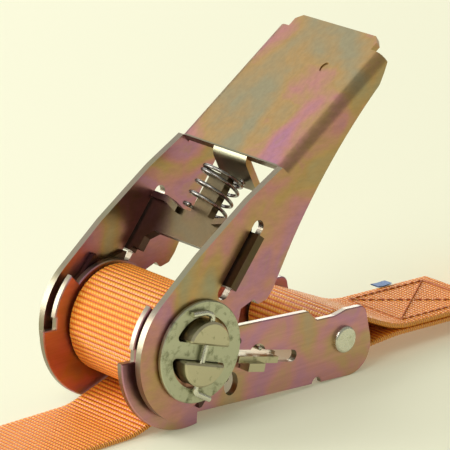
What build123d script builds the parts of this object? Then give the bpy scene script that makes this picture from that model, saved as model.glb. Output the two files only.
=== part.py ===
from build123d import *
import math
import os

# A 25 mm ratchet buckle with its webbing, in millimetres.
# Origin: the spindle's axis, midway between the frame plates.  +X runs to the anchor
# rivet, +Y to the far side, +Z up.  Flat parts are drawn in (x, z) and given a
# depth along Y.  The buckle is drawn level and then leans on its table by REST_TILT.

REST_TILT = 3.6
TABLE_Z = -20.2

# webbing
WEB_WIDTH = 25.0
WEB_THICK = 1.4
WOUND_RADIUS = 13.3
LONG_ROLL_RADIUS = 36.0
LONG_ROLL_X = -134.0
SHORT_ROLL_RADIUS = 14.0
SHORT_ROLL_X = 131.0
ROLL_CORE_RADIUS = 1.8

# layers across the buckle, each counted outwards from the middle plane
PLATE_THICK = 1.8
PLATE_IN = 13.2
PLATE_OUT = PLATE_IN + PLATE_THICK
WHEEL_IN = PLATE_OUT + 0.15
WHEEL_THICK = 1.25
WHEEL_OUT = WHEEL_IN + WHEEL_THICK
CHEEK_IN = WHEEL_OUT + 0.15
CHEEK_THICK = 1.8
CHEEK_OUT = CHEEK_IN + CHEEK_THICK
DISC_IN = CHEEK_OUT + 0.15
DISC_THICK = 1.2
DISC_OUT = DISC_IN + DISC_THICK
SPINDLE_END = DISC_OUT + 2.6

# spindle, wheels and discs
SPINDLE_ANGLE = -14.0
SPINDLE_FLAT = 2.2
SPINDLE_CURVE = 6.5
SPINDLE_CURVE_SHIFT = 1.4
SPINDLE_BORE = SPINDLE_CURVE + SPINDLE_CURVE_SHIFT + 0.08
DISC_RADIUS = 12.4
DISC_WINDOW = 8.9
DISC_WINDOW_FLAT = 2.0
TOOTH_COUNT = 10
TOOTH_ROOT = 13.4
TOOTH_TIP = 15.7
STEEP_FACE_ANGLE = 66.5
SPLIT_PIN_RADIUS = 0.7
SPLIT_PIN_HOLE = 0.85

# frame plates
LOBE_RADIUS = 20.2
CAM_RADIUS = 17.0
WORK_RADIUS = 13.8
CAM_START = 136.0
CAM_NOTCH_RADIUS = 16.35
CAM_NOTCH = (-0.75, 2.1)
PLATE_BOTTOM = -16.9
PLATE_TOP = 2.3
ANCHOR = (51.0, -7.0)
RIVET_RADIUS = 3.0
RIVET_HEAD_RADIUS = 3.4
RIVET_HEAD_HEIGHT = 1.2
SLEEVE_RADIUS = 5.0

# lock pawl and its slot
LOCK_ANGLE = -10.0
LOCK_AT = (25.8, -6.8)
LOCK_SLOT_HALF = 1.5
LOCK_SLOT_SPAN = (-14.0, 9.8)
LOCK_THICK = 1.6

# handle, drawn where it stands open about 60 degrees above the frame
PAWL_ANGLE = 55.5
PAWL_SHIFT = 1.43
HANDLE_LOBE = 17.5
HANDLE_HUB = 12.0
PAWL_SLOT_SPAN = (12.9, 33.8)
PAWL_SLOT_HALF = 1.7
PAWL_THICK = 2.2
PAWL_RIB_HEIGHT = 1.3
PAWL_EAR_OUT = CHEEK_OUT + 2.4
GRIP_LOW = (23.7, 40.7)
GRIP_HIGH = (54.4, 64.8)
GRIP_END = 38.7
GRIP_LIP = 42.8
GRIP_LIP_HALF = 14.2
BEND_RADIUS = 3.0
TAB_HALF = 5.8
TAB_LENGTH = 9.4
TAB_FALL = -60.8
SPRING_RADIUS = 5.1
SPRING_WIRE = 0.45
SPRING_SPAN = (30.6, 41.6)
SPRING_TURNS = 4.0

# fixed strap, sewn back on itself
SEAM_START_X = 72.0
SEAM_END_X = 106.0
SEAM_Z = -14.0
SEAM_DROP = 1.2
SEAM_FALL_RUN = 9.0
THREAD = 0.5
STITCH_ROWS = (-9.5, 9.5)
SEWN_BOX = (3.5, 30.0)
LABEL = (5.0, 3.0, 0.4)
LABEL_START = 16.5
LABEL_OVERLAP = 0.8
SEAM_CLEAR = 0.03
GAP = 0.3


def polar(radius, degrees):
    """A point in (x, z) from its radius and its angle above +X."""
    angle = math.radians(degrees)
    return (radius * math.cos(angle), radius * math.sin(angle))


def along(origin, degrees, forward, left=0.0):
    """The point that lies forward and left of origin, facing the given angle."""
    ahead = polar(forward, degrees)
    side = polar(left, degrees + 90)
    return (origin[0] + ahead[0] + side[0], origin[1] + ahead[1] + side[1])


def depth(sketch, y_low, y_high):
    """A sketch in (x, z), made solid from y_low to y_high."""
    solid = extrude(sketch, amount=y_high - y_low)
    return Pos(0, y_high, 0) * Rot(90, 0, 0) * solid


def near_and_far(sketch, inner, outer):
    """The same plate on both sides of the middle plane."""
    return depth(sketch, -outer, -inner), depth(sketch, inner, outer)


def block(x_low, z_low, x_high, z_high):
    middle = Pos((x_low + x_high) / 2, (z_low + z_high) / 2)
    return middle * Rectangle(x_high - x_low, z_high - z_low)


def outline(points):
    return make_face(Polyline(*points, close=True))


def wedge(start, end, reach=60.0):
    """A sector wide enough to cut a circle with, from one angle to another."""
    middle = (start + end) / 2
    corners = [(0, 0)]
    for degrees in (start, middle, end):
        corners.append(polar(reach, degrees))
    return outline(corners)


def rounded(sketch, corner_radii):
    """Rounds the corner nearest to each named point."""
    for point, radius in corner_radii:
        place = Vector(*point)
        corner = sketch.vertices().sort_by_distance(place)[0]
        sketch = fillet(corner, radius)
    return sketch


def slot_shape(origin, degrees, span, half_width):
    """A straight slot with round ends, measured along a line from origin."""
    length = span[1] - span[0]
    centre = along(origin, degrees, (span[0] + span[1]) / 2)
    return Pos(*centre) * Rot(0, 0, degrees) * SlotOverall(length, 2 * half_width)


def plate_profile():
    """Frame plate: round lobe below, release cam above it, and a bar to the anchor rivet."""
    step_x = 4.4
    lobe = Circle(LOBE_RADIUS) & block(-LOBE_RADIUS, -LOBE_RADIUS, step_x, CAM_NOTCH[0])
    cam = Circle(CAM_RADIUS) & wedge(CAM_START, 185)
    bar = outline(
        [
            (0, PLATE_TOP + 0.3),
            (38.6, PLATE_TOP - 0.2),
            (41.6, -0.6),
            (47.4, -0.6),
            (51.6, 0.45),
            (57.9, 0.45),
            (60.6, -8.5),
            (60.5, PLATE_BOTTOM),
            (0, PLATE_BOTTOM),
        ]
    )
    bar = rounded(
        bar,
        [
            ((60.5, PLATE_BOTTOM), 7.0),
            ((57.9, 0.45), 2.4),
            ((60.6, -8.5), 8.0),
            ((38.6, PLATE_TOP - 0.2), 1.0),
            ((41.6, -0.6), 1.2),
            ((47.4, -0.6), 3.0),
            ((51.6, 0.45), 3.0),
        ],
    )
    notch = block(-LOBE_RADIUS, CAM_NOTCH[0], -CAM_NOTCH_RADIUS, CAM_NOTCH[1])
    thumb_notch = Pos(43.0, PLATE_BOTTOM) * Circle(1.5)
    return Circle(WORK_RADIUS) + cam - notch + lobe + bar - thumb_notch


def plate_openings():
    """Bore for the spindle, slot for the lock pawl with its spring's bump, drain and rivet hole."""
    bore = Circle(SPINDLE_BORE)
    drain = Pos(14.4, -11.7) * Ellipse(2.2, 2.9)
    spring_bump = Pos(22.4, -5.9) * Circle(2.7)
    pawl_slot = slot_shape(LOCK_AT, LOCK_ANGLE, LOCK_SLOT_SPAN, LOCK_SLOT_HALF)
    rivet_hole = Pos(*ANCHOR) * Circle(RIVET_RADIUS)
    return bore + drain + spring_bump + pawl_slot + rivet_hole


def soft_edges(solid, size=0.25):
    """Breaks the two flat outlines of a stamped plate."""
    flat_faces = solid.faces().filter_by(Axis.Y).sort_by(SortBy.AREA)[-2:]
    edges = ShapeList()
    for face in flat_faces:
        edges += face.outer_wire().edges()
    return chamfer(edges, size)


def frame_plates():
    near, far = near_and_far(plate_profile(), PLATE_IN, PLATE_OUT)
    near_holes, far_holes = near_and_far(plate_openings(), PLATE_IN, PLATE_OUT)
    return {
        "frame_plate_near": soft_edges(near) - near_holes,
        "frame_plate_far": soft_edges(far) - far_holes,
    }


def anchor_parts():
    """The rivet that ties the plates together, and the spacer tube that the strap loops round."""
    place = Pos(*ANCHOR)
    shank = depth(place * Circle(RIVET_RADIUS), -PLATE_OUT, PLATE_OUT)
    head_near = depth(place * Circle(RIVET_HEAD_RADIUS), -PLATE_OUT - RIVET_HEAD_HEIGHT, -PLATE_OUT)
    head_far = depth(place * Circle(RIVET_HEAD_RADIUS), PLATE_OUT, PLATE_OUT + RIVET_HEAD_HEIGHT)
    rim_near = head_near.edges().sort_by(Axis.Y)[0]
    rim_far = head_far.edges().sort_by(Axis.Y)[-1]
    rivet = shank + fillet(rim_near, 0.7) + fillet(rim_far, 0.7)
    tube = place * Circle(SLEEVE_RADIUS) - place * Circle(RIVET_RADIUS + 0.05)
    return {"anchor_rivet": rivet, "anchor_sleeve": depth(tube, -PLATE_IN + 0.05, PLATE_IN - 0.05)}


def window_shape():
    """The two D-shaped windows that the spindle halves pass through."""
    circle = Circle(DISC_WINDOW)
    return circle - block(-DISC_WINDOW, -DISC_WINDOW_FLAT, DISC_WINDOW, DISC_WINDOW_FLAT)


def ratchet_wheels():
    """Saw teeth: a radial face, a short land, a straight back and a round root."""
    pitch = 360 / TOOTH_COUNT
    points = []
    for tooth in range(TOOTH_COUNT):
        face = STEEP_FACE_ANGLE + tooth * pitch
        points.append(polar(TOOTH_ROOT, face))
        points.append(polar(TOOTH_TIP, face))
        points.append(polar(TOOTH_TIP, face + 3))
        points.append(polar(TOOTH_ROOT, face + 20))
        points.append(polar(TOOTH_ROOT, face + 28))
    windows = Rot(0, 0, SPINDLE_ANGLE) * window_shape()
    near, far = near_and_far(outline(points) - windows, WHEEL_IN, WHEEL_OUT)
    return {"ratchet_wheel_near": near, "ratchet_wheel_far": far}


def end_discs():
    windows = window_shape()
    corners = windows.vertices()
    windows = fillet(corners, 1.0)
    disc = Circle(DISC_RADIUS) - Rot(0, 0, SPINDLE_ANGLE) * windows
    near, far = near_and_far(disc, DISC_IN, DISC_OUT)
    return {"end_disc_near": soft_edges(near), "end_disc_far": soft_edges(far)}


def pin_depth():
    """How far out the split pins cross the spindle halves."""
    return DISC_OUT + SPLIT_PIN_HOLE + 0.1


def spindle_halves():
    """Two half-round bars with the webbing's slot between their flats."""
    bow = Pos(0, SPINDLE_CURVE_SHIFT) * Circle(SPINDLE_CURVE)
    section = bow & block(-SPINDLE_CURVE, SPINDLE_FLAT, SPINDLE_CURVE, 3 * SPINDLE_CURVE)
    section = fillet(section.vertices(), 0.6)
    bar = depth(section, -SPINDLE_END, SPINDLE_END)
    ends = bar.faces().sort_by(Axis.Y)
    bar = chamfer(ends[0].edges() + ends[-1].edges(), 0.5)
    for y in (-pin_depth(), pin_depth()):
        bar -= Pos(0, y, 0) * Cylinder(SPLIT_PIN_HOLE, 4 * SPINDLE_CURVE)
    turn = Rot(0, -SPINDLE_ANGLE, 0)
    return {"spindle_half_upper": turn * bar, "spindle_half_lower": turn * Rot(0, 180, 0) * bar}


def split_pins():
    """Wire pins: an eye laid over the upper half, a shank, and a leg bent aside below."""
    route = [(-6.6, 8.7), (-2.6, 9.6), (0, 9.2), (0, -9.5), (5.2, -10.7)]
    pins = {}
    for side, y in (("near", -pin_depth()), ("far", pin_depth())):
        corners = [Vector(x, y, z) for x, z in route]
        path = FilletPolyline(*corners, radius=[2.5, 1.4, 1.1])
        start = Plane(origin=path @ 0, z_dir=path % 0)
        wire = sweep(start * Circle(SPLIT_PIN_RADIUS), path)
        pins["split_pin_" + side] = Rot(0, -SPINDLE_ANGLE, 0) * wire
    return pins


def grip(forward, left=0.0):
    """A point measured along the handle's top web, with left meaning outwards."""
    slope = math.degrees(math.atan2(GRIP_HIGH[1] - GRIP_LOW[1], GRIP_HIGH[0] - GRIP_LOW[0]))
    return along(GRIP_LOW, slope, forward, left)


def cheek_profile():
    """One side of the handle: cam lobe, long front edge, bowed rear edge and a cut heel."""
    lobe = Circle(HANDLE_LOBE) & wedge(128, 190)
    lobe += Circle(HANDLE_LOBE) & wedge(188, 252)
    ramp = outline([(0, 0), polar(HANDLE_LOBE, 252), polar(HANDLE_HUB, 284)])
    front = [grip(0), (13.7, 34.3), (-1.0, 22.8), polar(HANDLE_LOBE, 132.4)]
    heel = [polar(HANDLE_HUB, 8), (13.0, 8.0), (17.0, 9.7), (18.4, 8.2), (21.2, 9.0), (22.9, 11.2)]
    rear_low = (28.4, 22.4)
    rear_high = (53.9, 56.9)
    tip = [(55.2, 59.9), grip(GRIP_END, -BEND_RADIUS), grip(0.6, -BEND_RADIUS)]
    edges = [Line(a, b) for a, b in zip(front, front[1:])]
    lower = [front[-1], (0, 0)] + heel + [rear_low]
    edges += [Line(a, b) for a, b in zip(lower, lower[1:])]
    edges.append(ThreePointArc(rear_low, (39.95, 40.6), rear_high))
    upper = [rear_high] + tip + [front[0]]
    edges += [Line(a, b) for a, b in zip(upper, upper[1:])]
    arm = make_face(edges)
    corner_radii = [
        ((13.7, 34.3), 20.0),
        ((-1.0, 22.8), 12.0),
        (rear_low, 14.0),
        ((22.9, 11.2), 4.0),
        ((21.2, 9.0), 1.0),
        ((18.4, 8.2), 0.8),
        ((17.0, 9.7), 0.5),
        (rear_high, 3.0),
    ]
    arm = rounded(arm, corner_radii)
    profile = Circle(HANDLE_HUB) + lobe + ramp + arm
    pawl_line = along((0, 0), PAWL_ANGLE, 0, PAWL_SHIFT)
    slot = slot_shape(pawl_line, PAWL_ANGLE, PAWL_SLOT_SPAN, PAWL_SLOT_HALF)
    return profile - Circle(SPINDLE_BORE) - slot


def grip_web():
    """The top web with its two rolled bends, a narrower lip, and the spring tab folded inwards."""
    wide = 2 * CHEEK_OUT
    outer = Rectangle(wide, 2 * BEND_RADIUS)
    outer = fillet(outer.vertices().sort_by(Axis.Y)[-2:], BEND_RADIUS)
    inner_half = BEND_RADIUS - CHEEK_THICK
    inner = Pos(0, -CHEEK_THICK) * Rectangle(wide - 2 * CHEEK_THICK, 2 * BEND_RADIUS)
    inner = fillet(inner.vertices().sort_by(Axis.Y)[-2:], inner_half)
    band = Pos(0, -BEND_RADIUS / 2) * Rectangle(wide, BEND_RADIUS)
    bend = Pos(0, -BEND_RADIUS) * (outer - inner) & band
    start = grip(0)
    end = grip(1)
    run = Vector(end[0] - start[0], 0, end[1] - start[1])
    section = Plane(origin=(start[0], 0, start[1]), x_dir=(0, 1, 0), z_dir=run)
    web = extrude(section * bend, amount=GRIP_END)
    lip_corners = [grip(GRIP_END - 1), grip(GRIP_LIP)]
    lip_corners += [grip(GRIP_LIP, -CHEEK_THICK), grip(GRIP_END - 1, -CHEEK_THICK)]
    lip = depth(outline(lip_corners), -GRIP_LIP_HALF, GRIP_LIP_HALF)
    lip_ends = lip.edges().filter_by(lambda e: abs(e.length - CHEEK_THICK) < 0.01)
    lip = chamfer(lip_ends.sort_by(Axis.X)[-2:], 1.6)
    tab_line = FilletPolyline(
        grip(3, -CHEEK_THICK / 2),
        grip(-0.4, -CHEEK_THICK / 2),
        along(grip(-0.4, -CHEEK_THICK / 2), TAB_FALL, TAB_LENGTH),
        radius=2.0,
    )
    tab = depth(trace(tab_line, CHEEK_THICK), -TAB_HALF, TAB_HALF)
    mark_at = grip(30.1)
    up = Vector(-run.Z, 0, run.X)
    mark = Plane(origin=(mark_at[0], -5.8, mark_at[1]), x_dir=run, z_dir=up) * Ellipse(1.5, 1.0)
    return web + lip + tab - extrude(mark, amount=-0.3)


def handle():
    near, far = near_and_far(cheek_profile(), CHEEK_IN, CHEEK_OUT)
    return {"handle": near + far + grip_web()}


def sloping_plane(start, out):
    """A plane square to the side plates: its x runs along out and its y runs to the far side."""
    origin = (start[0], 0, start[1])
    return Plane(origin=origin, x_dir=(out[0], 0, out[1]), z_dir=(-out[1], 0, out[0]))


def pawl_plane():
    """The plane of the handle pawl: its x runs out from the spindle and its y runs to the far side."""
    start = along((0, 0), PAWL_ANGLE, 0, PAWL_SHIFT)
    out = polar(1, PAWL_ANGLE)
    return sloping_plane(start, out)


def handle_pawl():
    """A stamped plate: two legs over the wheels, ears through the cheeks, a strip for the spring.

    Its shoulders are folded over into ribs on the side that faces away from the anchor.
    """
    tip_over_wheel = 16.15
    tip_over_plate = 17.25
    leg_inner = 12.8
    half = [
        (22.6, 0),
        (22.6, 10.6),
        (20.6, leg_inner),
        (tip_over_plate, leg_inner),
        (tip_over_plate, PLATE_OUT + 0.12),
        (tip_over_wheel, PLATE_OUT + 0.12),
        (tip_over_wheel, PAWL_EAR_OUT),
        (30.3, PAWL_EAR_OUT),
        (30.3, CHEEK_IN - 0.3),
        (31.5, CHEEK_IN - 0.9),
        (31.5, 11.0),
        (30.0, 6.4),
        (30.0, 3.0),
        (41.0, 3.0),
        (41.0, 0),
    ]
    mirrored = [(x, -y) for x, y in reversed(half) if y]
    face = outline(half + mirrored)
    plate = extrude(pawl_plane() * face, amount=PAWL_THICK / 2, both=True)
    rib = [(31.5, 16.2), (31.5, 11.0), (30.0, 6.4), (28.4, 6.4), (29.9, 11.0), (29.9, 16.2)]
    other = [(x, -y) for x, y in rib]
    both = outline(rib) + outline(other)
    ribs = extrude(pawl_plane() * both, amount=PAWL_THICK / 2 + PAWL_RIB_HEIGHT)
    return plate + ribs


def coil(radius, wire, span, turns):
    """A round-wire compression spring standing on the x axis of the pawl's plane."""
    length = span[1] - span[0]
    helix = Helix(pitch=length / turns, height=length, radius=radius)
    section = Plane(origin=helix @ 0, z_dir=helix % 0) * Circle(wire)
    return Pos(0, 0, span[0]) * sweep(section, helix)


def handle_pawl_parts():
    spring = coil(SPRING_RADIUS, SPRING_WIRE, SPRING_SPAN, SPRING_TURNS)
    plane = pawl_plane()
    upright = Plane(origin=plane.origin, z_dir=plane.x_dir, x_dir=(0, 1, 0))
    return {"handle_pawl": handle_pawl(), "handle_pawl_spring": upright.location * spring}


def lock_plane():
    """The plane of the lock pawl: its x runs away from the spindle and its y runs to the far side."""
    return sloping_plane(LOCK_AT, polar(1, LOCK_ANGLE))


def lock_pawl():
    """A plate across both frame plates: noses for the wheels, and low tabs that the handle's cams push."""
    nose = -10.6
    half = [
        (-8.0, 0),
        (-8.0, PLATE_IN - 0.8),
        (nose, PLATE_IN - 0.2),
        (nose, WHEEL_OUT),
        (2.4, WHEEL_OUT),
        (2.4, PLATE_IN - 0.3),
        (5.8, PLATE_IN - 1.6),
        (5.8, 0),
    ]
    mirrored = [(x, -y) for x, y in reversed(half) if y]
    face = outline(half + mirrored)
    plane = lock_plane()
    floor = 0.1 - LOCK_SLOT_HALF
    plate = extrude(plane.offset(floor) * face, amount=LOCK_THICK)
    tab = Pos(-6.1, (WHEEL_IN + CHEEK_OUT) / 2) * Rectangle(5.2, CHEEK_OUT - WHEEL_IN)
    low = plane.offset(floor - LOCK_THICK)
    tabs = extrude(low * tab, amount=LOCK_THICK + 0.4)
    return plate + tabs + mirror(tabs, about=Plane.XZ)


def lock_spring():
    """A bent wire: its ends hook through the plates and its middle presses the lock pawl's back."""
    top = -4.1
    hook_x = 22.4
    back_x = 32.4
    inside = 11.2
    points = [
        (hook_x, -PLATE_OUT - 1.0, top),
        (hook_x, -inside, top),
        (back_x, -inside, top - 1.4),
        (back_x, -inside + 3.4, top - 4.3),
        (back_x, inside - 3.4, top - 4.3),
        (back_x, inside, top - 1.4),
        (hook_x, inside, top),
        (hook_x, PLATE_OUT + 1.0, top),
    ]
    path = FilletPolyline(*[Vector(*p) for p in points], radius=1.3)
    start = Plane(origin=path @ 0, z_dir=path % 0)
    return sweep(start * Circle(0.5), path)


def wound_webbing():
    """The turns on the spindle: a thick ring, and the two plies that cross the slot."""
    ring = Circle(WOUND_RADIUS) - Circle(SPINDLE_BORE)
    plies = Rot(0, 0, SPINDLE_ANGLE) * Rectangle(2 * SPINDLE_BORE + 1, 2 * WEB_THICK)
    return depth(ring + plies, -WEB_WIDTH / 2, WEB_WIDTH / 2)


def webbing_roll(centre_x, radius):
    ring = Circle(radius) - Circle(ROLL_CORE_RADIUS)
    return depth(Pos(centre_x, TABLE_Z + radius) * ring, -WEB_WIDTH / 2, WEB_WIDTH / 2)


def roll_contact(radius):
    """How far from under a roll's centre its rim stands one webbing thickness up."""
    return math.sqrt(radius**2 - (radius - WEB_THICK) ** 2)


def long_strap():
    """Leaves the underside of the wound turns, drops to the table and runs to its roll."""
    wrap = WOUND_RADIUS + GAP + WEB_THICK / 2
    leave = 288
    flat_z = TABLE_Z + WEB_THICK / 2
    tangent_start = polar(wrap, leave)
    slope = leave - 90
    fall = (tangent_start[1] - flat_z) / math.sin(math.radians(leave - 270))
    knee = along(tangent_start, slope, fall)
    end = (LONG_ROLL_X + roll_contact(LONG_ROLL_RADIUS) + GAP, flat_z)
    around = CenterArc((0, 0), wrap, 318, leave - 318)
    run = FilletPolyline(tangent_start, knee, end, radius=18.0)
    profile = trace(around, WEB_THICK) + trace(run, WEB_THICK)
    return depth(profile, -WEB_WIDTH / 2, WEB_WIDTH / 2)


def anchor_on_table():
    """The anchor's centre once the buckle leans by REST_TILT."""
    lean = math.radians(REST_TILT)
    x, z = ANCHOR
    return (x * math.cos(lean) + z * math.sin(lean), z * math.cos(lean) - x * math.sin(lean))


def tangent_ply(centre, radius, target, upper):
    """A straight ply from its tangent point on a circle to a target point."""
    reach = math.dist(centre, target)
    bearing = math.degrees(math.atan2(target[1] - centre[1], target[0] - centre[0]))
    swing = math.degrees(math.acos(radius / reach))
    angle = bearing + swing if upper else bearing - swing
    touch = along(centre, angle, radius)
    return angle, Line(touch, target)


def anchored_strap():
    """Loops round the anchor sleeve, is sewn to itself, then falls to the table and its roll."""
    centre = anchor_on_table()
    middle = SLEEVE_RADIUS + 0.15 + WEB_THICK / 2
    half = WEB_THICK / 2
    seam_top = (SEAM_START_X, SEAM_Z + half)
    seam_low = (SEAM_START_X, SEAM_Z - half)
    top_angle, top_ply = tangent_ply(centre, middle, seam_top, True)
    low_angle, low_ply = tangent_ply(centre, middle, seam_low, False)
    around = CenterArc(centre, middle, top_angle, 360 + low_angle - top_angle)
    flat_z = TABLE_Z + half
    end = (SHORT_ROLL_X - roll_contact(SHORT_ROLL_RADIUS) - GAP, flat_z)
    dip = SEAM_Z - SEAM_DROP
    seam_end = (SEAM_END_X, dip - half)
    knee = (SEAM_END_X + SEAM_FALL_RUN, flat_z)
    fall = FilletPolyline(seam_low, seam_end, knee, end, radius=[16, 14])
    folded = Line(seam_top, (SEAM_END_X, dip + half))
    loop = trace(around, WEB_THICK) + trace(top_ply, WEB_THICK) + trace(low_ply, WEB_THICK)
    strap = loop + trace(fall, WEB_THICK) + trace(folded, WEB_THICK)
    return depth(strap, -WEB_WIDTH / 2, WEB_WIDTH / 2)


def seam_slope():
    return -math.degrees(math.atan2(SEAM_DROP, SEAM_END_X - SEAM_START_X))


def on_seam(from_start, above):
    """A point along the shared face of the two sewn plies."""
    return along((SEAM_START_X, SEAM_Z), seam_slope(), from_start, above)


def seam_strip(start, end, thickness, above):
    """A thin strip that follows the sewn plies, standing on their top or under their bottom."""
    corners = [on_seam(start, above), on_seam(end, above), on_seam(end, above + thickness)]
    corners.append(on_seam(start, above + thickness))
    return outline(corners)


def seam_thread():
    """The long sides of the sewn box, on both outer faces of the plies."""
    rows = []
    for y in STITCH_ROWS:
        for above in (WEB_THICK + SEAM_CLEAR, -WEB_THICK - THREAD - SEAM_CLEAR):
            strip = seam_strip(SEWN_BOX[0], SEWN_BOX[1], THREAD, above)
            rows.append(depth(strip, y - THREAD, y + THREAD))
    return Compound(children=rows)


def strap_label():
    """A small blank tag on the sewn plies, that shows past the strap's far edge."""
    length, width, thickness = LABEL
    strip = seam_strip(LABEL_START, LABEL_START + length, thickness, WEB_THICK + SEAM_CLEAR)
    inner = WEB_WIDTH / 2 - LABEL_OVERLAP
    return depth(strip, inner, inner + width)


def lean(shape):
    """Sets a piece of the buckle down on the table."""
    return Rot(0, REST_TILT, 0) * shape


def save(name, shape):
    export_step(shape, os.path.join("parts", name + ".step"))


os.makedirs("parts", exist_ok=True)
buckle = {}
buckle.update(frame_plates())
buckle.update(anchor_parts())
buckle.update(ratchet_wheels())
buckle.update(end_discs())
buckle.update(spindle_halves())
buckle.update(split_pins())
buckle.update(handle())
buckle.update(handle_pawl_parts())
buckle["lock_pawl"] = lock_pawl()
buckle["lock_pawl_spring"] = lock_spring()
buckle["wound_webbing"] = wound_webbing()
for name, shape in buckle.items():
    save(name, lean(shape))
save("long_strap", long_strap())
save("long_strap_roll", webbing_roll(LONG_ROLL_X, LONG_ROLL_RADIUS))
save("fixed_strap", anchored_strap())
save("seam_thread", seam_thread())
save("strap_label", strap_label())
save("fixed_strap_roll", webbing_roll(SHORT_ROLL_X, SHORT_ROLL_RADIUS))
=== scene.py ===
import math

import bpy
import numpy as np
from mathutils import Matrix, Vector


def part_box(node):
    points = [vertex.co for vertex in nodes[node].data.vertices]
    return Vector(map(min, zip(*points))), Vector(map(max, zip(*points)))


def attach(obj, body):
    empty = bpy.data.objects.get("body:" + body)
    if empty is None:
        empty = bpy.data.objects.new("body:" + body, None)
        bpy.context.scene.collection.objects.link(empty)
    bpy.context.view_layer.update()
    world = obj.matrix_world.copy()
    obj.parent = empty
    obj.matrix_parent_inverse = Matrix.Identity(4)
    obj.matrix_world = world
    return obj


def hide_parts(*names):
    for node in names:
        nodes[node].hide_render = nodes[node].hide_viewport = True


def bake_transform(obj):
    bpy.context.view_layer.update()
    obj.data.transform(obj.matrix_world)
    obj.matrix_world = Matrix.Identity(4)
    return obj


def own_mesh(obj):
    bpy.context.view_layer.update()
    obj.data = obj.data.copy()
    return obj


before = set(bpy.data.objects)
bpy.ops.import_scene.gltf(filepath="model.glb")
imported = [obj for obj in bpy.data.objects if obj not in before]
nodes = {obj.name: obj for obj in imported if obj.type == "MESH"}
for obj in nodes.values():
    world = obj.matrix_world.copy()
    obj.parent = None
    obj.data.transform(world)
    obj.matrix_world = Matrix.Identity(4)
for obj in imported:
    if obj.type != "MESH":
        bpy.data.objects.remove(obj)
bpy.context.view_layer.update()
MM = 0.001


# ---------------------------------------------------------------- stamped steel
# Frame plates, wheels, handle and its pawl are stamped from sheet steel, zinc
# plated and dipped in yellow chromate.  The thin film shifts between olive gold,
# mauve and grey green, with fine rolling lines.

CHROMATE_OLIVE = (0.55, 0.37, 0.15, 1)
CHROMATE_ROSE = (0.63, 0.29, 0.28, 1)
CHROMATE_LILAC = (0.55, 0.25, 0.40, 1)
CHROMATE_GREEN = (0.38, 0.38, 0.24, 1)
CUT_EDGE = (0.24, 0.24, 0.17, 1)


class Number:
    """A shader value used in ordinary sums: each operator adds one Math node."""

    def __init__(self, finish, socket):
        self.finish = finish
        self.socket = socket

    def __add__(self, other):
        return self.finish.sum("ADD", self, other)

    def __sub__(self, other):
        return self.finish.sum("SUBTRACT", self, other)

    def __mul__(self, other):
        return self.finish.sum("MULTIPLY", self, other)

    def __rsub__(self, other):
        return self.finish.sum("SUBTRACT", other, self)

    __radd__ = __add__
    __rmul__ = __mul__

    def over(self, limit):
        return self.finish.sum("GREATER_THAN", self, limit)

    def ridge(self, pitch):
        """|sin(pi x / pitch)|: one round ridge for every pitch."""
        wave = self.finish.sum("SINE", self * (math.pi / pitch))
        return self.finish.sum("ABSOLUTE", wave)

    def ramp(self, low, high):
        """0 below low, 1 above high, and a straight line between."""
        values = {"Value": self, "From Min": low, "From Max": high}
        return self.finish.node("ShaderNodeMapRange", {"clamp": True}, values, "Result")


class Finish:
    """One material under construction: its tree, and one method that adds any node."""

    def __init__(self, name, **constants):
        self.material = bpy.data.materials.new(name)
        self.material.use_nodes = True
        self.tree = self.material.node_tree
        self.shader = self.tree.nodes["Principled BSDF"]
        for socket, value in constants.items():
            self.shader.inputs[socket.replace("_", " ")].default_value = value

    def put(self, socket, value):
        if isinstance(value, Number):
            value = value.socket
        if isinstance(value, bpy.types.NodeSocket):
            self.tree.links.new(value, socket)
        else:
            socket.default_value = value

    def node(self, kind, settings=None, values=None, output=0):
        """Adds a node: settings first, then its sockets' values or links."""
        made = self.tree.nodes.new(kind)
        for name, value in (settings or {}).items():
            if name == "stops":
                elements = made.color_ramp.elements
                while len(elements) < len(value):
                    elements.new(0.5)
                for element, (place, colour) in zip(elements, value):
                    element.position = place
                    element.color = colour
            else:
                setattr(made, name, value)
        for name, value in (values or {}).items():
            self.put(made.inputs[name], value)
        return Number(self, made.outputs[output])

    def sum(self, operation, *terms):
        values = {index: term for index, term in enumerate(terms)}
        return self.node("ShaderNodeMath", {"operation": operation}, values)

    def place(self, scale, source="Object"):
        """Coordinates of the piece, or its UV map, stretched by scale per metre."""
        where = self.node("ShaderNodeTexCoord", output=source)
        return self.node("ShaderNodeMapping", values={"Vector": where, "Scale": scale})

    def measured(self, direction):
        """How far a point of the piece lies along a direction."""
        where = self.node("ShaderNodeTexCoord", output="Object")
        values = {0: where, 1: direction}
        return self.node("ShaderNodeVectorMath", {"operation": "DOT_PRODUCT"}, values, "Value")

    def noise(self, place, scale, detail=2.0, roughness=0.5, distortion=0.0):
        values = {"Vector": place, "Scale": scale, "Detail": detail, "Roughness": roughness}
        values["Distortion"] = distortion
        return self.node("ShaderNodeTexNoise", values=values, output="Fac")

    def colours(self, amount, stops):
        settings = {"stops": stops}
        return self.node("ShaderNodeValToRGB", settings, {"Fac": amount}, "Color")

    def mix(self, amount, first, second, blend="MIX"):
        settings = {"data_type": "RGBA", "blend_type": blend}
        return self.node("ShaderNodeMix", settings, {0: amount, 6: first, 7: second}, 2)

    def bump(self, height, distance, strength=1.0):
        values = {"Height": height, "Distance": distance, "Strength": strength}
        normal = self.node("ShaderNodeBump", values=values, output="Normal")
        self.put(self.shader.inputs["Normal"], normal)

    def wear(self, *pieces):
        """Gives the finish to pieces, in place of what they had."""
        for piece in pieces:
            piece.data.materials.clear()
            piece.data.materials.append(self.material)


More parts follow.
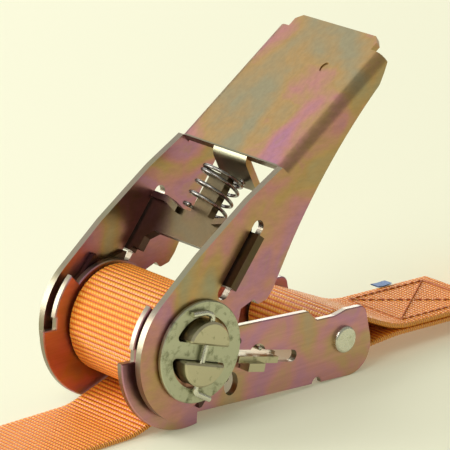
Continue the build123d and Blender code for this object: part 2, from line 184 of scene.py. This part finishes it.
def chromate(name, along, tint, web=None, share=0.28, cut=0.85):
    """Plated sheet steel.  along is the rolling direction's stretch, tint a colour laid over.

    share is how much of the tint shows, and cut how pale the cut edges are, whose faces don't
    look along Y.  web says where the sheet is folded over and has no cut edge: above a line in
    (x, z), given by its normal and offset, and past a start measured along that line.
    """
    steel = Finish(name, Metallic=1.0)
    place = steel.place((1000, 1000, 1000))
    drawn = steel.place(along)
    cloud = steel.noise(place, 0.030, detail=2, distortion=1.2)
    film = steel.noise(place, 0.16, detail=4, roughness=0.6, distortion=0.8)
    lines = steel.noise(drawn, 1.0, detail=3, roughness=0.7)
    tone = cloud * 0.85 + film * 0.15
    stops = [
        (0.33, CHROMATE_GREEN),
        (0.43, CHROMATE_OLIVE),
        (0.50, CHROMATE_ROSE),
        (0.57, CHROMATE_LILAC),
        (0.66, CHROMATE_OLIVE),
    ]
    colour = steel.colours(tone, stops)
    colour = steel.mix(share, colour, tint)
    worn = steel.colours(lines, [(0.35, (0.80, 0.80, 0.80, 1)), (0.65, (1, 1, 1, 1))])
    colour = steel.mix(0.6, colour, worn, "MULTIPLY")
    facing = steel.node("ShaderNodeNewGeometry", output="Normal")
    sideways = steel.node("ShaderNodeSeparateXYZ", values={0: facing}, output="Y")
    edge = 1 - steel.sum("ABSOLUTE", sideways).ramp(0.2, 0.6)
    if web is not None:
        normal, offset, start = web
        above = steel.measured((normal[0], 0, normal[1]))
        forward = steel.measured((normal[1], 0, -normal[0]))
        edge = edge * (1 - above.over(offset) * forward.over(start))
    colour = steel.mix(edge * cut, colour, CUT_EDGE)
    steel.put(steel.shader.inputs["Base Color"], colour)
    steel.put(steel.shader.inputs["Roughness"], 0.20 + film * 0.18 + lines * 0.08)
    steel.bump(lines * 0.5 + film * 0.5, 0.00006, 0.5)
    return steel


def leaned(x, z, lean=math.radians(3.6)):
    """A place drawn on the level buckle, once it leans on the table."""
    return x * math.cos(lean) + z * math.sin(lean), z * math.cos(lean) - x * math.sin(lean)


GRIP_LOW = leaned(23.7 * MM, 40.7 * MM)
GRIP_HIGH = leaned(54.4 * MM, 64.8 * MM)
grip_run = math.dist(GRIP_LOW, GRIP_HIGH)
grip_up = ((GRIP_LOW[1] - GRIP_HIGH[1]) / grip_run, (GRIP_HIGH[0] - GRIP_LOW[0]) / grip_run)
web_offset = grip_up[0] * GRIP_LOW[0] + grip_up[1] * GRIP_LOW[1] - 3.1 * MM
web_start = grip_up[1] * GRIP_LOW[0] - grip_up[0] * GRIP_LOW[1] + 0.4 * MM
plate_steel = chromate("chromated_plate", (60, 2000, 900), (0.48, 0.28, 0.30, 1))
grip_web = (grip_up, web_offset, web_start)
handle_steel = chromate("chromated_handle", (300, 900, 900), (0.34, 0.19, 0.10, 1), grip_web)
plate_steel.wear(nodes["frame_plate_near"], nodes["frame_plate_far"])
handle_steel.wear(nodes["handle"])

# The wheels and handle pawl share the plates' chromated steel. It is laid over almost wholly with near
# black brown, which is partly their own dark film and partly painted shade where they sit between the
# plates and cheeks.
SHADED_BROWN = (0.055, 0.042, 0.025, 1)
shade_darkened_steel = chromate("chromated_small_parts_painted_shade", (900, 900, 900), SHADED_BROWN, share=0.9, cut=0.0)
shade_darkened_steel.wear(nodes["handle_pawl"], nodes["ratchet_wheel_near"], nodes["ratchet_wheel_far"])


# ---------------------------------------------------------------- zinc parts
# The end discs, spindle halves and lock pawl are plain zinc: dull grey green with
# dark handling marks.  The rivet, its sleeve, split pins and lock spring are brighter.

ZINC_DULL = (0.50, 0.51, 0.36, 1)
ZINC_DARK = (0.14, 0.15, 0.08, 1)
ZINC_BRIGHT = (0.66, 0.66, 0.55, 1)


def zinc(name, light, dark, spots, rough):
    """Plain plated steel: light metal with darker blotches over the share given by spots."""
    metal = Finish(name, Metallic=1.0)
    place = metal.place((1000, 1000, 1000))
    cloud = metal.noise(place, 0.35, detail=5, roughness=0.65)
    grain = metal.noise(place, 3.0, detail=2)
    stops = [(spots - 0.12, dark), (spots + 0.08, light)]
    metal.put(metal.shader.inputs["Base Color"], metal.colours(cloud, stops))
    metal.put(metal.shader.inputs["Roughness"], rough + grain * 0.2)
    metal.bump(cloud * 0.4 + grain * 0.6, 0.00005, 0.6)
    return metal


dull_zinc = zinc("dull_zinc", ZINC_DULL, ZINC_DARK, 0.42, 0.30)
bright_zinc = zinc("bright_zinc", ZINC_BRIGHT, ZINC_DULL, 0.38, 0.16)
spindle_zinc = zinc("spindle_zinc", (0.52, 0.48, 0.32, 1), ZINC_DARK, 0.36, 0.22)
dull_zinc.wear(nodes["end_disc_near"], nodes["end_disc_far"])
spindle_zinc.wear(nodes["spindle_half_upper"], nodes["spindle_half_lower"], nodes["lock_pawl"])
bright_zinc.wear(nodes["anchor_rivet"], nodes["anchor_sleeve"])
bright_zinc.wear(nodes["split_pin_near"], nodes["split_pin_far"])


# ---------------------------------------------------------------- springs
# A coil of drawn wire stands round the handle pawl's strip, with open turns below and
# closed turns at the handle's folded tab.  The lock pawl has a spring of bent wire.

WIRE_DARK = (0.16, 0.15, 0.14, 1)
SPRING_RADIUS = 5.1 * MM
SPRING_WIRE = 0.45 * MM
SPRING_OPEN_TURNS = 3.2
SPRING_CLOSED_TURNS = 1.5
PAWL_ANGLE = math.radians(55.5)
PAWL_SHIFT = 1.43 * MM
SPRING_SPAN = (30.6 * MM, 41.6 * MM)


def surface(name, points, uv=None, closed_across=False, caps=False):
    """A mesh from a grid of points, rows along and columns across, joined to their neighbours.

    Quad (i, j) joins (i, j), (i + 1, j), (i + 1, j + 1) and (i, j + 1), wrapping across where closed.
    caps closes the two end rows with one face each.
    """
    rows, columns = points.shape[:2]
    i = np.arange(rows - 1)[:, None]
    j = np.arange(columns if closed_across else columns - 1)[None, :]
    here = i * columns + j
    ahead = (i + 1) * columns + j
    ahead_right = (i + 1) * columns + (j + 1) % columns
    right = i * columns + (j + 1) % columns
    quads = np.stack([here, ahead, ahead_right, right], axis=-1).reshape(-1, 4)
    faces = quads.tolist()
    if caps:
        faces.append(list(range(columns)))
        faces.append(list(range(rows * columns - 1, (rows - 1) * columns - 1, -1)))
    mesh = bpy.data.meshes.new(name)
    mesh.from_pydata(points.reshape(-1, 3).tolist(), [], faces)
    if uv is not None:
        layer = mesh.uv_layers.new(name="cloth")
        corner = np.empty(len(mesh.loops), dtype=np.int32)
        mesh.loops.foreach_get("vertex_index", corner)
        layer.data.foreach_set("uv", uv.reshape(-1, 2)[corner].ravel())
    mesh.polygons.foreach_set("use_smooth", np.ones(len(faces), dtype=bool))
    mesh.update()
    piece = bpy.data.objects.new(name, mesh)
    bpy.context.scene.collection.objects.link(piece)
    return piece


def wire(name, line, radius, upward, sides=10):
    """A round wire along a line of points: at each point a ring of sides points.

    The ring stands across the line's direction and starts level, which is across upward.
    """
    ahead = np.gradient(line, axis=0)
    ahead /= np.linalg.norm(ahead, axis=1, keepdims=True)
    level = np.cross(ahead, upward)
    level /= np.linalg.norm(level, axis=1, keepdims=True)
    upright = np.cross(ahead, level)
    angle = np.linspace(0, 2 * np.pi, sides, endpoint=False)
    across = level[:, None] * np.cos(angle)[:, None] + upright[:, None] * np.sin(angle)[:, None]
    return surface(name, line[:, None] + across * radius, closed_across=True, caps=True)


def even(line, step):
    """The same line with points every step: lengths added up, then read off at equal spaces."""
    run = np.concatenate([[0], np.cumsum(np.linalg.norm(np.diff(line, axis=0), axis=1))])
    count = max(int(round(run[-1] / step)), 2)
    at = np.linspace(0, run[-1], count + 1)
    return np.stack([np.interp(at, run, line[:, k]) for k in range(line.shape[1])], axis=1), at


def eased(points, radii):
    """A bent line with each inner corner rounded off.

    The curve (1 - t)^2 first + 2 t (1 - t) corner + t^2 last runs between the two points
    where an arc of the corner's radius would touch the lines.
    """
    points = [np.array(p, float) for p in points]
    line = [points[0][None]]
    for before, corner, after, radius in zip(points, points[1:], points[2:], radii):
        back = (before - corner) / np.linalg.norm(before - corner)
        on = (after - corner) / np.linalg.norm(after - corner)
        half_angle = math.acos(np.clip(np.dot(back, on), -1, 1)) / 2
        reach = radius / math.tan(half_angle)
        share = np.linspace(0, 1, 24)[:, None]
        first, last = corner + back * reach, corner + on * reach
        line.append((1 - share) ** 2 * first + 2 * share * (1 - share) * corner + share**2 * last)
    line.append(points[-1][None])
    return np.concatenate(line)


out_x, out_z = leaned(math.cos(PAWL_ANGLE), math.sin(PAWL_ANGLE))
foot_x, foot_z = leaned(-PAWL_SHIFT * math.sin(PAWL_ANGLE), PAWL_SHIFT * math.cos(PAWL_ANGLE))
pawl_out = np.array([out_x, 0, out_z])
pawl_foot = np.array([foot_x, 0, foot_z])
pawl_side = np.array([-out_z, 0, out_x])

turns = np.linspace(0, SPRING_OPEN_TURNS + SPRING_CLOSED_TURNS, 300)
climb = np.minimum(turns, SPRING_OPEN_TURNS) / SPRING_OPEN_TURNS
closed = np.maximum(turns - SPRING_OPEN_TURNS, 0) * 2 * SPRING_WIRE
open_height = SPRING_SPAN[1] - SPRING_SPAN[0] - SPRING_CLOSED_TURNS * 2 * SPRING_WIRE
height = SPRING_SPAN[0] + climb * open_height + closed
swing = 2 * np.pi * turns
coil = pawl_foot + height[:, None] * pawl_out
coil += SPRING_RADIUS * np.cos(swing)[:, None] * pawl_side
coil += SPRING_RADIUS * np.sin(swing)[:, None] * np.array([0, 1, 0])
pawl_spring = wire("pawl_spring", coil, SPRING_WIRE, pawl_out, sides=12)

spring_steel = Finish("spring_wire", Metallic=1.0)
wire_grain = spring_steel.noise(spring_steel.place((1000, 1000, 1000)), 1.5, detail=3)
wire_stops = [(0.35, WIRE_DARK), (0.7, (0.34, 0.32, 0.29, 1))]
spring_steel.put(spring_steel.shader.inputs["Base Color"], spring_steel.colours(wire_grain, wire_stops))
spring_steel.put(spring_steel.shader.inputs["Roughness"], 0.18 + wire_grain * 0.15)
spring_steel.wear(pawl_spring)
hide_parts("handle_pawl_spring")
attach(pawl_spring, "handle")
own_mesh(pawl_spring)

# The lock pawl's wire hooks through both frame plates, and its middle bears on the pawl's back.
LOCK_WIRE = 0.5 * MM
LOCK_BEND = 1.3 * MM
HOOK = (22.4 * MM, -4.1 * MM)
ARM_END = (32.4 * MM, -5.5 * MM)
BACK = (32.4 * MM, -8.4 * MM)
half_route = [(HOOK, 16.0 * MM), (HOOK, 11.2 * MM), (ARM_END, 11.2 * MM), (BACK, 7.8 * MM)]
lock_route = []
for (x, z), y in half_route:
    x, z = leaned(x, z)
    lock_route.append((x, -y, z))
lock_route += [(x, -y, z) for x, y, z in reversed(lock_route)]
lock_line, _ = even(eased(lock_route, [LOCK_BEND] * 6), 0.25 * MM)
lock_spring = wire("lock_spring", lock_line, LOCK_WIRE, np.array([0, 0, 1]))
bright_zinc.wear(lock_spring)
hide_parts("lock_pawl_spring")
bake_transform(lock_spring)


# ---------------------------------------------------------------- webbing
# 25 mm polyester webbing: round ribs across the width, each crossed by short
# yarn floats, with a looped selvedge down both edges.

WEB_HALF = 12.5 * MM
WEB_THICK = 1.4 * MM
half_web = WEB_THICK / 2
RIB_PITCH = 1.3 * MM
RIB_HEIGHT = 0.16 * MM
FLOAT_PITCH = 0.9 * MM
SELVEDGE = 1.0 * MM
# Yarn colours: the deep one is painted shade in the weave's valleys, the pale one a painted highlight
# on rib and float tops.
YARN_ORANGE = (0.96, 0.26, 0.0, 1)
YARN_VALLEY_SHADE = (0.62, 0.08, 0.0, 1)
YARN_TOP_HIGHLIGHT = (1.0, 0.50, 0.05, 1)


def webbing_finish():
    """Ribs and floats on the strip's own map, which counts metres along and across."""
    sheen = {"Sheen_Weight": 0.1, "Sheen_Roughness": 0.4, "Sheen_Tint": (1, 0.75, 0.5, 1)}
    cloth = Finish("orange_webbing", Specular_IOR_Level=0.8, **sheen)
    where = cloth.node("ShaderNodeTexCoord", output="UV")
    along = cloth.node("ShaderNodeSeparateXYZ", values={0: where}, output="X")
    across = cloth.node("ShaderNodeSeparateXYZ", values={0: where}, output="Y")
    rib = along.ridge(RIB_PITCH)
    lean_over = along * (FLOAT_PITCH / RIB_PITCH * 0.5)
    float_yarn = (across + lean_over).ridge(FLOAT_PITCH)
    edge = cloth.sum("ABSOLUTE", across).ramp(WEB_HALF - SELVEDGE, WEB_HALF - 0.2 * MM)
    loop = along.ridge(RIB_PITCH * 0.5)
    height = rib * 0.45 + rib * float_yarn * 0.55
    height = height * (1 - edge) + loop * edge
    fuzz = cloth.noise(cloth.place((1000, 1000, 1000)), 2.2, detail=3)
    # Colour by weave height: painted shade low in the valleys, painted highlight high on the ribs and
    # floats.
    colour = cloth.colours(height, [(0.05, YARN_VALLEY_SHADE), (0.45, YARN_ORANGE), (1.0, YARN_TOP_HIGHLIGHT)])
    soft = cloth.colours(fuzz, [(0.3, (0.86, 0.86, 0.86, 1)), (0.7, (1, 1, 1, 1))])
    cloth.put(cloth.shader.inputs["Base Color"], cloth.mix(1.0, colour, soft, "MULTIPLY"))
    cloth.put(cloth.shader.inputs["Roughness"], 0.30 + fuzz * 0.2)
    cloth.bump(height + fuzz * 0.1, 0.00028, 1.0)
    return cloth


orange_webbing = webbing_finish()


def strip(name, line, ribs=True, step=RIB_PITCH / 6, columns=12):
    """Webbing whose middle follows a line in (x, z), as a closed tube round a flat oval section.

    Section: the top face from edge to edge, a half-round edge, the bottom face back, and
    the other edge.  Where ribs is set both faces rise by RIB_HEIGHT |sin(pi s / RIB_PITCH)|.
    Returns the piece and its length.
    """
    line, at = even(line, step)
    ahead = np.gradient(line, axis=0)
    ahead /= np.linalg.norm(ahead, axis=1, keepdims=True)
    normal = np.stack([-ahead[:, 1], ahead[:, 0]], axis=1)
    bend = np.linspace(0, np.pi, 5)[1:-1]
    flat = np.linspace(half_web - WEB_HALF, WEB_HALF - half_web, columns)
    y = np.concatenate([flat, flat[-1] + np.sin(bend) * half_web])
    y = np.concatenate([y, flat[::-1], flat[0] - np.sin(bend) * half_web])
    side = np.concatenate([np.ones(columns), np.cos(bend), -np.ones(columns), -np.cos(bend)])
    rise = RIB_HEIGHT * (np.abs(np.sin(np.pi * at / RIB_PITCH)) - 1) if ribs else 0 * at
    lift = side[None, :] * (half_web + rise[:, None])
    x = line[:, 0, None] + normal[:, 0, None] * lift
    z = line[:, 1, None] + normal[:, 1, None] * lift
    points = np.stack([x, np.broadcast_to(y, x.shape), z], axis=-1)
    uv = np.stack(np.broadcast_arrays(at[:, None], y[None, :]), axis=-1)
    return surface(name, points, uv, closed_across=True, caps=True), at[-1]


def arc(centre, radius, start, end, count=60):
    """Points round a circle in (x, z), from one angle to another, in degrees."""
    angle = np.radians(np.linspace(start, end, count))
    return np.stack([centre[0] + radius * np.cos(angle), centre[1] + radius * np.sin(angle)], axis=1)


def spiral(centre, inner, outer, start, turns, count):
    """A flat coil in (x, z): the radius grows evenly from inner to outer over its turns."""
    angle = np.radians(start) + np.linspace(0, turns * 2 * np.pi, count)
    radius = np.linspace(inner, outer, count)
    return np.stack([centre[0] + radius * np.cos(angle), centre[1] + radius * np.sin(angle)], axis=1)


def cloth_piece(piece, body, replaced):
    """Dresses one length of webbing, hides the part it stands for and hangs it on the body it moves
    with.
    """
    orange_webbing.wear(piece)
    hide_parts(replaced)
    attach(piece, body)


# The turns on the spindle: wound tight, each lying on the one below.
wound_low, wound_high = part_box("wound_webbing")
WOUND_RADIUS = (wound_high[2] - wound_low[2]) / 2
SPINDLE_RADIUS = 7.98 * MM
WIND_FROM = 292
LAST_TURN = 330
wound_layers = (WOUND_RADIUS - SPINDLE_RADIUS) / WEB_THICK - 1
outermost = WOUND_RADIUS - half_web
wound_line = spiral((0, 0), SPINDLE_RADIUS + half_web, outermost, WIND_FROM, wound_layers, 900)
last_from = WIND_FROM + wound_layers * 360
closing_turn = arc((0, 0), outermost, last_from, last_from + LAST_TURN, 200)
wound_line = np.concatenate([wound_line, closing_turn[1:]])
wound_turns, wound_length = strip("wound_turns", wound_line, columns=8)
cloth_piece(wound_turns, "spool", "wound_webbing")


# ---------------------------------------------------------------- long strap
# The long end leaves the underside of the wound turns, drops to the table and lies
# flat; its far length is rolled up beyond it.

TABLE_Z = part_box("long_strap")[0][2]
WRAP_START = 318
LEAVE = 288
KNEE_RADIUS = 18 * MM
SLIP = 0.3 * MM
ROLL_CORE = 1.8 * MM
LAYER_SPACING = 1.02
roll_low, roll_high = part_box("long_strap_roll")
ROLL_RADIUS = (roll_high[2] - roll_low[2]) / 2
roll_centre = ((roll_low[0] + roll_high[0]) / 2, TABLE_Z + ROLL_RADIUS)


def long_strap_line():
    """Round under the wound turns, straight down to the table, then flat to the roll."""
    wrap = WOUND_RADIUS + SLIP + half_web
    flat_z = TABLE_Z + half_web
    around = arc((0, 0), wrap, WRAP_START, LEAVE, 40)
    start = around[-1]
    fall = (start[1] - flat_z) / math.sin(math.radians(LEAVE - 270))
    heading = math.radians(LEAVE - 90)
    knee = start + fall * np.array([math.cos(heading), math.sin(heading)])
    end = np.array([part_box("long_strap")[0][0], flat_z])
    return np.concatenate([around[:-1], eased([start, knee, end], [KNEE_RADIUS])])


long_strap, long_length = strip("long_strap_cloth", long_strap_line())
cloth_piece(long_strap, "frame", "long_strap")


def rolled(name, centre, radius, start):
    """A roll of webbing: a spiral of evenly spaced layers from the core to the rim."""
    core = ROLL_CORE + half_web
    layers = (radius - core - half_web) / (WEB_THICK * LAYER_SPACING)
    line = spiral(centre, core, radius - half_web, start, layers, int(layers * 72))
    return strip(name, line, ribs=False, step=1.1 * MM, columns=5)


long_roll, long_roll_length = rolled("long_strap_coil", roll_centre, ROLL_RADIUS, 20)
cloth_piece(long_roll, "frame", "long_strap_roll")


# ---------------------------------------------------------------- sewn strap
# A short strap loops round the anchor's sleeve and is sewn back on itself with a box
# and its diagonals; past the seam it falls to the table.

anchor_low, anchor_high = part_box("anchor_sleeve")
ANCHOR = np.array([(anchor_low[0] + anchor_high[0]) / 2, (anchor_low[2] + anchor_high[2]) / 2])
SLEEVE_RADIUS = (anchor_high[2] - anchor_low[2]) / 2
SEAM_START = np.array([72.0, -14.0]) * MM
SEAM_END_X = 106 * MM
SEAM_DROP = 1.2 * MM
short_low, short_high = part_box("fixed_strap_roll")
SHORT_RADIUS = (short_high[2] - short_low[2]) / 2
short_centre = ((short_low[0] + short_high[0]) / 2, TABLE_Z + SHORT_RADIUS)


def touch_angle(centre, radius, target, side):
    """Where a straight line to target leaves a circle: the bearing plus or minus acos(r / reach)."""
    away = target - centre
    bearing = math.degrees(math.atan2(away[1], away[0]))
    return bearing + side * math.degrees(math.acos(radius / np.linalg.norm(away)))


def sewn_strap_line():
    """Folded end, top ply, round the sleeve, bottom ply, then down to the table."""
    middle = SLEEVE_RADIUS + 0.15 * MM + half_web
    top = SEAM_START + [0, half_web]
    low = SEAM_START - [0, half_web]
    first = touch_angle(ANCHOR, middle, top, 1)
    last = touch_angle(ANCHOR, middle, low, -1)
    around = arc(ANCHOR, middle, first, 360 + last, 80)
    seam_end = np.array([SEAM_END_X, SEAM_START[1] - SEAM_DROP])
    table = np.array([SEAM_END_X + 9 * MM, TABLE_Z + half_web])
    end = np.array([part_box("fixed_strap")[1][0], TABLE_Z + half_web])
    top_ply = eased([seam_end + [0, half_web], top, around[0]], [25 * MM])
    under = eased([around[-1], low, seam_end - [0, half_web], table, end], [25 * MM, 16 * MM, 14 * MM])
    return np.concatenate([top_ply[:-1], around[:-1], under])


sewn_strap, sewn_length = strip("sewn_strap_cloth", sewn_strap_line())
cloth_piece(sewn_strap, "anchored_strap", "fixed_strap")
short_roll, short_roll_length = rolled("sewn_strap_coil", short_centre, SHORT_RADIUS, 200)
cloth_piece(short_roll, "anchored_strap", "fixed_strap_roll")

# Seam: one thread runs round a box and across both diagonals, dipping at each stitch.
STITCH_PITCH = 2.4 * MM
THREAD_RADIUS = 0.22 * MM
BOX_START, BOX_END = 3.5 * MM, 30 * MM
BOX_HALF = 9.5 * MM
slope = math.atan2(-SEAM_DROP, SEAM_END_X - SEAM_START[0])
seam_ahead = np.array([math.cos(slope), 0, math.sin(slope)])
seam_up = np.array([-math.sin(slope), 0, math.cos(slope)])
seam_origin = np.array([SEAM_START[0], 0, SEAM_START[1]])


def seam_line(corners, face):
    """Thread on one face: height above the cloth is thread times |sin(pi s / pitch)| less a dip."""
    flat, at = even(np.array(corners, float), STITCH_PITCH / 8)
    wave = np.abs(np.sin(np.pi * at / STITCH_PITCH))
    above = face * (WEB_THICK + THREAD_RADIUS * (1.6 * wave - 0.9))
    return (
        seam_origin
        + flat[:, 0, None] * seam_ahead
        + flat[:, 1, None] * np.array([0, 1, 0])
        + above[:, None] * seam_up
    )


box_route = [
    (BOX_START, -BOX_HALF),
    (BOX_END, -BOX_HALF),
    (BOX_END, BOX_HALF),
    (BOX_START, BOX_HALF),
    (BOX_START, -BOX_HALF),
    (BOX_END, BOX_HALF),
    (BOX_END, -BOX_HALF),
    (BOX_START, BOX_HALF),
]
thread = Finish("seam_thread", Roughness=0.6)
strands = thread.noise(thread.place((1000, 1000, 1000)), 4.0, detail=2)
thread_stops = [(0.3, (0.42, 0.10, 0.02, 1)), (0.7, (0.62, 0.20, 0.05, 1))]
thread.put(thread.shader.inputs["Base Color"], thread.colours(strands, thread_stops))
thread.bump(strands, 0.0001, 0.6)
for name, face in (("seam_stitches_top", 1), ("seam_stitches_under", -1)):
    stitches = wire(name, seam_line(box_route, face), THREAD_RADIUS, seam_up, sides=6)
    thread.wear(stitches)
    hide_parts("seam_thread")
    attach(stitches, "anchored_strap")

# A blank woven tag, folded in two, on the sewn plies at their far edge.
label_low, label_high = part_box("strap_label")
TAG_GAP = 0.14 * MM
FOLD_ROOM = 0.3 * MM
TAG_INSET = 0.2 * MM
RIPPLE = 0.05 * MM
RIPPLE_TURN = 1.3
label_y = np.linspace(label_low[1], label_high[1] - FOLD_ROOM, 16)
fold = np.linspace(-np.pi / 2, np.pi / 2, 9)
edge_y = np.concatenate([label_y, label_y[-1] + TAG_GAP * np.cos(fold), label_y[::-1]])
edge_z = np.concatenate([0 * label_y - TAG_GAP, TAG_GAP * np.sin(fold), 0 * label_y + TAG_GAP])
tag_x = np.linspace(label_low[0], label_high[0], 20)
tag_ends = [label_high[2] - TAG_INSET, label_low[2] + TAG_INSET]
tag_mid = np.interp(tag_x, [label_low[0], label_high[0]], tag_ends)
ripple = RIPPLE * np.sin(tag_x / MM * RIPPLE_TURN)
tag_points = np.stack(
    np.broadcast_arrays(
        tag_x[:, None],
        edge_y[None, :],
        (tag_mid + ripple)[:, None] + edge_z[None, :],
    ),
    axis=-1,
)
tag = surface("blank_tag", tag_points)
blue = Finish("blue_tag", Roughness=0.6)
tag_weave = blue.noise(blue.place((3000, 3000, 3000)), 1.0, detail=2)
tag_stops = [(0.3, (0.08, 0.16, 0.38, 1)), (0.7, (0.22, 0.36, 0.62, 1))]
blue.put(blue.shader.inputs["Base Color"], blue.colours(tag_weave, tag_stops))
blue.wear(tag)
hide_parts("strap_label")
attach(tag, "anchored_strap")


# ---------------------------------------------------------------- studio
# A pale floor that fills the view, a soft light from the left and three from behind, a
# plain display transform, and the camera low in front of the buckle's near left corner.

FLOOR_REACH = 3.0
span = np.linspace(-FLOOR_REACH, FLOOR_REACH, 3)
floor_x, floor_y = np.meshgrid(span, span, indexing="ij")
floor_points = np.stack([floor_x, floor_y, 0 * floor_x + TABLE_Z - 0.05 * MM], axis=-1)
floor = surface("floor", floor_points)
cream = Finish(
    "cream_floor",
    Roughness=0.9,
    Base_Color=(0.75, 0.75, 0.59, 1),
    Emission_Color=(1.0, 1.0, 0.70, 1),
    Emission_Strength=0.18,
    Specular_IOR_Level=0.1,
)
cream.wear(floor)

world = bpy.data.worlds.new("studio")
world.use_nodes = True
world.node_tree.nodes["Background"].inputs["Color"].default_value = (1.0, 0.98, 0.86, 1)
world.node_tree.nodes["Background"].inputs["Strength"].default_value = 0.38
bpy.context.scene.world = world
bpy.context.scene.view_settings.view_transform = "Standard"


def soft_light(name, place, target, size, power):
    """A square lamp of size metres at place, facing target."""
    lamp = bpy.data.lights.new(name, "AREA")
    lamp.size = size
    lamp.energy = power
    holder = bpy.data.objects.new(name, lamp)
    holder.location = place
    away = Vector(place) - Vector(target)
    holder.rotation_euler = away.to_track_quat("Z", "Y").to_euler()
    bpy.context.scene.collection.objects.link(holder)


soft_light("window_light", (-0.75, -0.15, 0.75), (0, 0, 0), 0.6, 4.5)
soft_light("sky_light", (-0.6, 1.1, 1.05), (0.02, 0, 0.03), 2.2, 10.0)
soft_light("low_light", (-0.95, 1.0, 0.4), (0, 0, 0.01), 0.8, 13.0)
soft_light("back_light", (0.9, 1.1, 0.55), (0.08, 0, 0), 0.7, 6.0)

CAMERA_AZIMUTH = math.radians(42.27)
CAMERA_DOWN = math.radians(18.57)
CAMERA_ROLL = math.radians(0.61)
CAMERA_AIM = Vector((24.88, 0, 20.65)) * MM
CAMERA_AWAY = 847.2 * MM
CAMERA_LENS = 284.63

look = Vector(
    (
        math.sin(CAMERA_AZIMUTH) * math.cos(CAMERA_DOWN),
        math.cos(CAMERA_AZIMUTH) * math.cos(CAMERA_DOWN),
        -math.sin(CAMERA_DOWN),
    )
)
level = Vector((math.cos(CAMERA_AZIMUTH), -math.sin(CAMERA_AZIMUTH), 0))
upward = level.cross(look)
right = level * math.cos(CAMERA_ROLL) + upward * math.sin(CAMERA_ROLL)
top = upward * math.cos(CAMERA_ROLL) - level * math.sin(CAMERA_ROLL)
camera_data = bpy.data.cameras.new("camera")
camera_data.lens = CAMERA_LENS
camera_data.sensor_width = 36
camera_data.clip_end = 20
camera = bpy.data.objects.new("camera", camera_data)
turned = Matrix((right, top, -look)).transposed().to_4x4()
camera.matrix_world = Matrix.Translation(CAMERA_AIM - look * CAMERA_AWAY) @ turned
bpy.context.scene.collection.objects.link(camera)
bpy.context.scene.camera = camera
